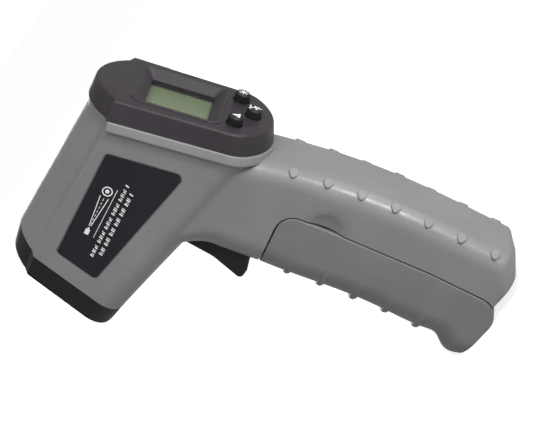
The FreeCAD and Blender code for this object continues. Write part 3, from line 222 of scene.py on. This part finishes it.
class Recipe:
    """A material's node tree, with short names for the nodes that the finishes share."""

    def __init__(self, name):
        self.material = bpy.data.materials.new(name)
        self.material.use_nodes = True
        self.tree = self.material.node_tree
        self.shader = self.tree.nodes["Principled BSDF"]
        self.place = self.tree.nodes.new("ShaderNodeTexCoord").outputs["Object"]

    def add(self, kind, settings=None, **values):
        """A node of a kind; settings are its own choices, and values fill its sockets or link to them."""
        node = self.tree.nodes.new(kind)
        for key, setting in (settings or {}).items():
            setattr(node, key, setting)
        for key, entry in values.items():
            self.feed(node.inputs[key.replace("_", " ")], entry)
        return node

    def feed(self, socket, entry):
        if isinstance(entry, bpy.types.NodeSocket):
            self.tree.links.new(entry, socket)
        else:
            socket.default_value = entry

    def noise(self, scale, detail=2.0, roughness=0.5, stretch=None):
        """Grey noise whose features are about 1/scale metres wide."""
        place = self.place
        if stretch:
            place = self.add("ShaderNodeMapping", Vector=place, Scale=stretch).outputs[0]
        node = self.add("ShaderNodeTexNoise", Vector=place, Scale=scale, Detail=detail, Roughness=roughness)
        return node.outputs["Fac"]

    def remap(self, source, low, high, to_low, to_high):
        node = self.add("ShaderNodeMapRange", Value=source)
        for index, number in enumerate((low, high, to_low, to_high), start=1):
            node.inputs[index].default_value = number
        return node.outputs[0]

    def spread(self, noise, to_low, to_high):
        """Stretches grey noise, which lies mostly between 0.3 and 0.7, over a range."""
        return self.remap(noise, 0.3, 0.7, to_low, to_high)

    def mix(self, factor, first, second, blend="MIX"):
        node = self.add("ShaderNodeMix", {"data_type": "RGBA", "blend_type": blend})
        self.feed(node.inputs[0], factor)
        self.feed(node.inputs[6], first)
        self.feed(node.inputs[7], second)
        return node.outputs[2]

    def math(self, operation, first, second=0.0):
        node = self.add("ShaderNodeMath", {"operation": operation})
        self.feed(node.inputs[0], first)
        self.feed(node.inputs[1], second)
        return node.outputs[0]

    def edges(self, radius):
        """1 along the piece's edges and 0 on its flats, by how far a rounded normal leans from the true."""
        flat_likeness, edge_likeness = 0.995, 0.80
        rounded = self.add("ShaderNodeBevel", {"samples": 4}, Radius=radius).outputs[0]
        flat = self.add("ShaderNodeNewGeometry").outputs["Normal"]
        likeness = self.add("ShaderNodeVectorMath", {"operation": "DOT_PRODUCT"})
        self.feed(likeness.inputs[0], rounded)
        self.feed(likeness.inputs[1], flat)
        return self.remap(likeness.outputs["Value"], flat_likeness, edge_likeness, 0.0, 1.0)

    def bump(self, height, distance):
        return self.add("ShaderNodeBump", Height=height, Distance=distance, Strength=1.0).outputs[0]


def scaled(colour, factor):
    return tuple(min(1.0, channel * factor) for channel in colour[:3]) + (1,)


# Width of the lightened edges, partly rubbed wear and partly a painted highlight, in millimetres
WEAR_AND_HIGHLIGHT_WIDTH = 0.4
TOOL_MARK_DEPTH = 0.008


def moulded(name, colour, roughness, grain=0.35, depth=0.02, wear_and_highlight=1.35, mottle=0.05, specular=0.5,
            speckle=0.03, parted=False):
    """Injection-moulded plastic: a spark-eroded grain, a slight mottle, and edges rubbed smoother and made
    lighter, the lightening partly wear and partly a painted highlight.

    grain is the texture's size and depth its height, in millimetres. wear_and_highlight is how much lighter
    the edges are, partly as rubbed wear and partly as a painted highlight. mottle and speckle are how much the
    colour varies, in large clouds and in fine dots. A parted piece has a hairline where its two halves meet.
    """
    recipe = Recipe(name)
    clouds = recipe.noise(70, 3)
    fine = recipe.noise(1 / (grain * MM), 2, 0.6)
    clouded = recipe.spread(clouds, 0, 1)
    body = recipe.mix(clouded, scaled(colour, 1 - mottle), scaled(colour, 1 + mottle))
    body = recipe.mix(1.0, body, recipe.spread(fine, 1 - speckle, 1 + speckle), "MULTIPLY")
    patchy = recipe.remap(recipe.noise(300, 3), 0.35, 0.65, 0.2, 0.7)
    rubbed_and_highlit = recipe.math("MULTIPLY", recipe.edges(WEAR_AND_HIGHLIGHT_WIDTH * MM), patchy)
    # The edges are made lighter here: partly rubbed wear, partly a painted highlight
    tint = recipe.mix(rubbed_and_highlit, body, scaled(colour, wear_and_highlight))
    if parted:
        across = recipe.add("ShaderNodeSeparateXYZ", Vector=recipe.place).outputs["Y"]
        line_edge, line_end = 0.07 * MM, 0.16 * MM
        hairline = recipe.remap(recipe.math("ABSOLUTE", across), line_edge, line_end, 0.45, 0.0)
        tint = recipe.mix(hairline, tint, scaled(colour, 0.25))
    recipe.feed(recipe.shader.inputs["Base Color"], tint)
    patches = recipe.spread(recipe.noise(120, 3), roughness - 0.05, roughness + 0.05)
    smoother = recipe.remap(rubbed_and_highlit, 0, 1, 0, 0.08)
    recipe.feed(recipe.shader.inputs["Roughness"], recipe.math("SUBTRACT", patches, smoother))
    recipe.shader.inputs["Specular IOR Level"].default_value = specular
    recipe.feed(recipe.shader.inputs["Normal"], recipe.bump(fine, depth * MM))
    return recipe.material


def metal(name, colour, roughness, stretch=(1, 1, 1), streak=900):
    """Bare or plated metal with fine tool marks, streak to the metre, drawn out by stretch."""
    recipe = Recipe(name)
    lines = recipe.noise(streak, 3, 0.6, stretch)
    tint = recipe.mix(recipe.spread(lines, 0, 1), scaled(colour, 0.85), scaled(colour, 1.1))
    recipe.feed(recipe.shader.inputs["Base Color"], tint)
    recipe.shader.inputs["Metallic"].default_value = 1.0
    polish = recipe.spread(lines, roughness - 0.06, roughness + 0.08)
    recipe.feed(recipe.shader.inputs["Roughness"], polish)
    recipe.feed(recipe.shader.inputs["Normal"], recipe.bump(lines, TOOL_MARK_DEPTH * MM))
    return recipe.material


MATERIALS = {
    "housing": moulded("housing", (0.215, 0.212, 0.214), 0.33, parted=True),
    # The door is a darker copy of the housing plastic: painted shade on the grip's lower front
    "door": moulded("door", (0.172, 0.170, 0.172), 0.38),
    "bezel_plastic": moulded("bezel_plastic", (0.029, 0.0245, 0.030), 0.40, grain=0.3, depth=0.03, wear_and_highlight=3.0,
                             specular=0.35, speckle=0.14),
    "black_plastic": moulded("black_plastic", (0.017, 0.0155, 0.0165), 0.45, grain=0.3, depth=0.025, wear_and_highlight=2.2,
                             specular=0.3, speckle=0.12),
    "trigger_plastic": moulded("trigger_plastic", (0.016, 0.015, 0.015), 0.42, depth=0.015, wear_and_highlight=2.0,
                               specular=0.3),
    "label": moulded("label", (0.015, 0.014, 0.019), 0.35, grain=0.2, depth=0.004, wear_and_highlight=2.5, specular=0.3),
    "key_rubber": moulded("key_rubber", (0.012, 0.011, 0.013), 0.5, depth=0.008, wear_and_highlight=1.8, specular=0.3),
    "switch_plastic": moulded("switch_plastic", (0.05, 0.05, 0.05), 0.35, depth=0.006),
    "backlight": moulded("backlight", (0.8, 0.82, 0.78), 0.4, depth=0.002, wear_and_highlight=1.0, mottle=0.02),
    "white_plastic": moulded("white_plastic", (0.75, 0.75, 0.73), 0.45, depth=0.006, wear_and_highlight=1.05, mottle=0.03),
    "zebra_rubber": moulded("zebra_rubber", (0.3, 0.3, 0.32), 0.5, depth=0.006),
    "circuit_board": moulded("circuit_board", (0.012, 0.13, 0.05), 0.3, depth=0.003),
    "chip_plastic": moulded("chip_plastic", (0.02, 0.02, 0.021), 0.55, depth=0.01),
    "battery_case": metal("battery_case", (0.45, 0.46, 0.5), 0.35),
    "snap_plastic": moulded("snap_plastic", (0.02, 0.02, 0.02), 0.45),
    "lead_red": moulded("lead_red", (0.5, 0.02, 0.02), 0.4, depth=0.003),
    "lead_black": moulded("lead_black", (0.015, 0.015, 0.015), 0.4, depth=0.003),
    "steel": metal("steel", (0.62, 0.62, 0.63), 0.3),
    "spring_steel": metal("spring_steel", (0.6, 0.6, 0.6), 0.3),
    "sensor_aluminium": metal("sensor_aluminium", (0.72, 0.72, 0.74), 0.3, (0.2, 1, 1), 2500),
    "sensor_steel": metal("sensor_steel", (0.66, 0.64, 0.58), 0.25),
    "brass": metal("brass", (0.75, 0.56, 0.26), 0.28, (0.2, 1, 1), 2500),
    "infrared_lens": moulded("infrared_lens", (0.72, 0.74, 0.76), 0.15, depth=0.001, wear_and_highlight=1.0, mottle=0.02),
    "lcd_glass": moulded("lcd_glass", (0.115, 0.148, 0.078), 0.2, depth=0.0005, wear_and_highlight=1.0, mottle=0.02,
                         specular=0.3),
}
INK = moulded("printed_ink", (0.80, 0.80, 0.80), 0.5, grain=0.1, depth=0.002, wear_and_highlight=1.0, mottle=0.05,
              specular=0.3)


def clear_plastic():
    """A window that adds a faint haze and reflections, with slight ripples."""
    recipe = Recipe("clear_window")
    shader = recipe.shader
    shader.inputs["Base Color"].default_value = (0.4, 0.42, 0.4, 1)
    shader.inputs["Roughness"].default_value = 0.04
    shader.inputs["Alpha"].default_value = 0.05
    recipe.feed(shader.inputs["Normal"], recipe.bump(recipe.noise(400, 2), 0.001 * MM))
    return recipe.material


MATERIALS["clear_window"] = clear_plastic()
# The LCD's frame, whose slot is white_plastic, is coloured black as painted shade: a dark wall round the glass
# where shade falls in the recess
LCD_FRAME_PAINTED_SHADE = moulded("lcd_frame_painted_shade", (0.012, 0.012, 0.012), 0.5, depth=0.006)
SLOTS = {part["node"]: part.get("material_slot") for part in frame["record"]["subparts"]}
for name, obj in NODES.items():
    slot = SLOTS[name]
    obj.data.materials.clear()
    obj.data.materials.append(LCD_FRAME_PAINTED_SHADE if name == "lcd_frame" else MATERIALS[slot])
    soften(obj)

# ---------------------------------------------------------------- printed marks

INK_THICKNESS = 0.05


def stand_prism(bm, outline, place, thick):
    """Adds a thin closed plate; place(a, b, lift) gives the point at (a, b), raised by lift millimetres."""
    top = [bm.verts.new(place(a, b, thick)) for a, b in outline]
    foot = [bm.verts.new(place(a, b, -thick)) for a, b in outline]
    bm.faces.new(top)
    bm.faces.new(reversed(foot))
    count = len(outline)
    for index in range(count):
        after = (index + 1) % count
        bm.faces.new((top[after], top[index], foot[index], foot[after]))


def printed(name, outlines, place, body):
    """One printed mark, a group of thin plates of ink on a body's surface."""
    bm = bmesh.new()
    for outline in outlines:
        stand_prism(bm, outline, place, INK_THICKNESS)
    bmesh.ops.recalc_face_normals(bm, faces=bm.faces)
    mesh = bpy.data.meshes.new(name)
    bm.to_mesh(mesh)
    bm.free()
    obj = bpy.data.objects.new(name, mesh)
    bpy.context.scene.collection.objects.link(obj)
    mesh.materials.append(INK)
    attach(obj, body)


def bar(start, end, low, high, lean=0.0):
    """A bar from start to end along a line, between two heights, its top leant forwards."""
    return [(start, low), (end, low), (end + lean, high), (start + lean, high)]


def disc(a, b, radius, corners=20):
    turns = (2 * math.pi * index / corners for index in range(corners))
    return [(a + radius * math.cos(turn), b + radius * math.sin(turn)) for turn in turns]


def ring(a, b, radius, width, corners=24):
    """A ring as a row of small four-sided plates."""
    plates = []
    for index in range(corners):
        turns = (2 * math.pi * step / corners for step in (index, index + 1))
        (c1, s1), (c2, s2) = ((math.cos(turn), math.sin(turn)) for turn in turns)
        inner = radius - width
        plates.append([(a + radius * c1, b + radius * s1), (a + radius * c2, b + radius * s2),
                       (a + inner * c2, b + inner * s2), (a + inner * c1, b + inner * s1)])
    return plates


# The label's own frame, in millimetres (x, z): its front upper corner, the way along its upper edge, and down
LABEL_CORNER = (36.6, 124.4)
LABEL_ALONG = Vector((-39.1, 7.2)).normalized()
LABEL_DOWN = Vector((-LABEL_ALONG.y, LABEL_ALONG.x))
LABEL_LONG = 39.8


def on_label(node, side):
    """A placing function for one label: distance along it, height against its downward way, and lift."""
    mesh = NODES[node].data
    tree = BVHTree.FromPolygons([v.co for v in mesh.vertices], [p.vertices for p in mesh.polygons])

    def place(along, height, lift):
        run = along if side > 0 else LABEL_LONG - along
        spot = Vector(LABEL_CORNER) + LABEL_ALONG * run - LABEL_DOWN * height
        start = Vector((spot.x, side * 60.0, spot.y)) * MM
        hit, normal, _, _ = tree.ray_cast(start, Vector((0, -side, 0)))
        return hit + normal * lift * MM

    return place


def aiming_mark():
    """A pictogram of the widening cone that a sensor sees, and the round spot at its end."""
    middle = -5.7
    body_start, body_end, neck_end = 10.7, 12.6, 13.3
    cone_start, cone_end = 14.0, 25.6
    marks = [bar(body_start, body_end, middle - 0.75, middle + 0.75),
             bar(body_end, neck_end, middle - 0.35, middle + 0.35)]
    for sign in (1, -1):
        marks.append([(cone_start, middle + sign * 0.15), (cone_end, middle + sign * 1.25),
                      (cone_end, middle + sign * 1.55), (cone_start, middle + sign * 0.4)])
    dashes, first_dash, dash_step, dash_length = 7, 14.6, 1.6, 0.9
    for index in range(dashes):
        start = first_dash + index * dash_step
        marks.append(bar(start, start + dash_length, middle - 0.1, middle + 0.1))
    spot = 27.9
    return marks + ring(spot, middle, 1.75, 0.4) + [disc(spot, middle, 0.7)]


def scale_marks(start, end, low, high, step, per_group):
    """A row of leaning scale ticks, wide ones among narrow ones, with gaps between its groups."""
    lean, wide_share, narrow_share, short_by = 0.3, 0.62, 0.34, 0.3
    marks = []
    for index in range(int((end - start) / step)):
        place_in_group = index % per_group
        if place_in_group == per_group - 1:
            continue
        share = wide_share if place_in_group % 2 == 0 else narrow_share
        tall = high if place_in_group % 3 != 1 else high - short_by
        left = start + index * step
        marks.append(bar(left, left + share * step, low, tall, lean))
    return marks


def add_label_print(node, side, name):
    place = on_label(node, side)
    rule = bar(10.7, 29.9, -8.45, -8.25)
    printed(f"{name}_aiming_mark", aiming_mark() + [rule], place, "housing")
    upper = scale_marks(start=4.2, end=33.6, low=-11.1, high=-9.9, step=0.8, per_group=7)
    lower = scale_marks(start=6.0, end=31.4, low=-13.5, high=-12.2, step=0.8, per_group=5)
    printed(f"{name}_upper_scale", upper, place, "housing")
    printed(f"{name}_lower_scale", lower, place, "housing")


# The keys' middles on the display's face: to the user's right and up, in millimetres
KEYS = {"backlight_key": (9.3, -36.0), "laser_key": (-9.3, -36.0), "units_key": (0.0, -41.0)}
KEY_TOP_DEPTH = -3.0
UNITS_SIZE = 2.7
UNITS_BOLDER = 0.07
UNITS_LINE = 0.74


def on_key(body):
    """A placing function for a key's top, with the key's own middle as the origin."""
    right, up = KEYS[body]
    return lambda a, b, lift: on_display(right + a, up + b, KEY_TOP_DEPTH - lift)


def sun_mark():
    rays, ray_start, ray_end, half_width = 8, 1.0, 1.65, 0.17
    marks = [disc(0, 0, 0.75)]
    for index in range(rays):
        turn = 2 * math.pi * index / rays
        out = Vector((math.cos(turn), math.sin(turn)))
        across = Vector((-out.y, out.x)) * half_width
        near, far = out * ray_start, out * ray_end
        marks.append([tuple(near - across), tuple(far - across), tuple(far + across), tuple(near + across)])
    return marks


def triangle_mark():
    """A triangle with a small round spot left open in a bar-like frame."""
    reach, drop, inner_share, inner_drop = 1.7, 0.3, 0.42, 0.1
    turns = (2 * math.pi * index / 3 for index in range(3))
    corners = [Vector((reach * math.sin(turn), reach * math.cos(turn) - drop)) for turn in turns]
    inner = [corner * inner_share - Vector((0, inner_drop)) for corner in corners]
    marks = []
    for index in range(3):
        after = (index + 1) % 3
        marks.append([tuple(corners[index]), tuple(corners[after]), tuple(inner[after]), tuple(inner[index])])
    return marks + [disc(0, -0.35, 0.25, 10)]


def add_units_mark(name):
    """The two temperature units, one above the other, as flat letters turned into a mesh."""
    text = bpy.data.curves.new(name, "FONT")
    text.body = "\u00b0C\n\u00b0F"
    text.size = UNITS_SIZE
    text.space_line = UNITS_LINE
    text.offset = UNITS_BOLDER
    text.align_x = "CENTER"
    text.extrude = INK_THICKNESS
    text.resolution_u = 3
    maker = bpy.data.objects.new(name + "_maker", text)
    bpy.context.scene.collection.objects.link(maker)
    bpy.context.view_layer.update()
    mesh = bpy.data.meshes.new_from_object(maker)
    bpy.data.objects.remove(maker)
    middle_height = (min(v.co.y for v in mesh.vertices) + max(v.co.y for v in mesh.vertices)) / 2
    place = on_key("units_key")
    for vertex in mesh.vertices:
        vertex.co = place(vertex.co.x, vertex.co.y - middle_height, vertex.co.z)
    mesh.materials.clear()
    mesh.materials.append(INK)
    obj = bpy.data.objects.new(name, mesh)
    bpy.context.scene.collection.objects.link(obj)
    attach(obj, "units_key")


add_label_print("left_label", 1, "left_label")
add_label_print("right_label", -1, "right_label")
printed("backlight_key_sun", sun_mark(), on_key("backlight_key"), "backlight_key")
printed("laser_key_triangle", triangle_mark(), on_key("laser_key"), "laser_key")
add_units_mark("units_key_letters")

add_camera()
add_surroundings()
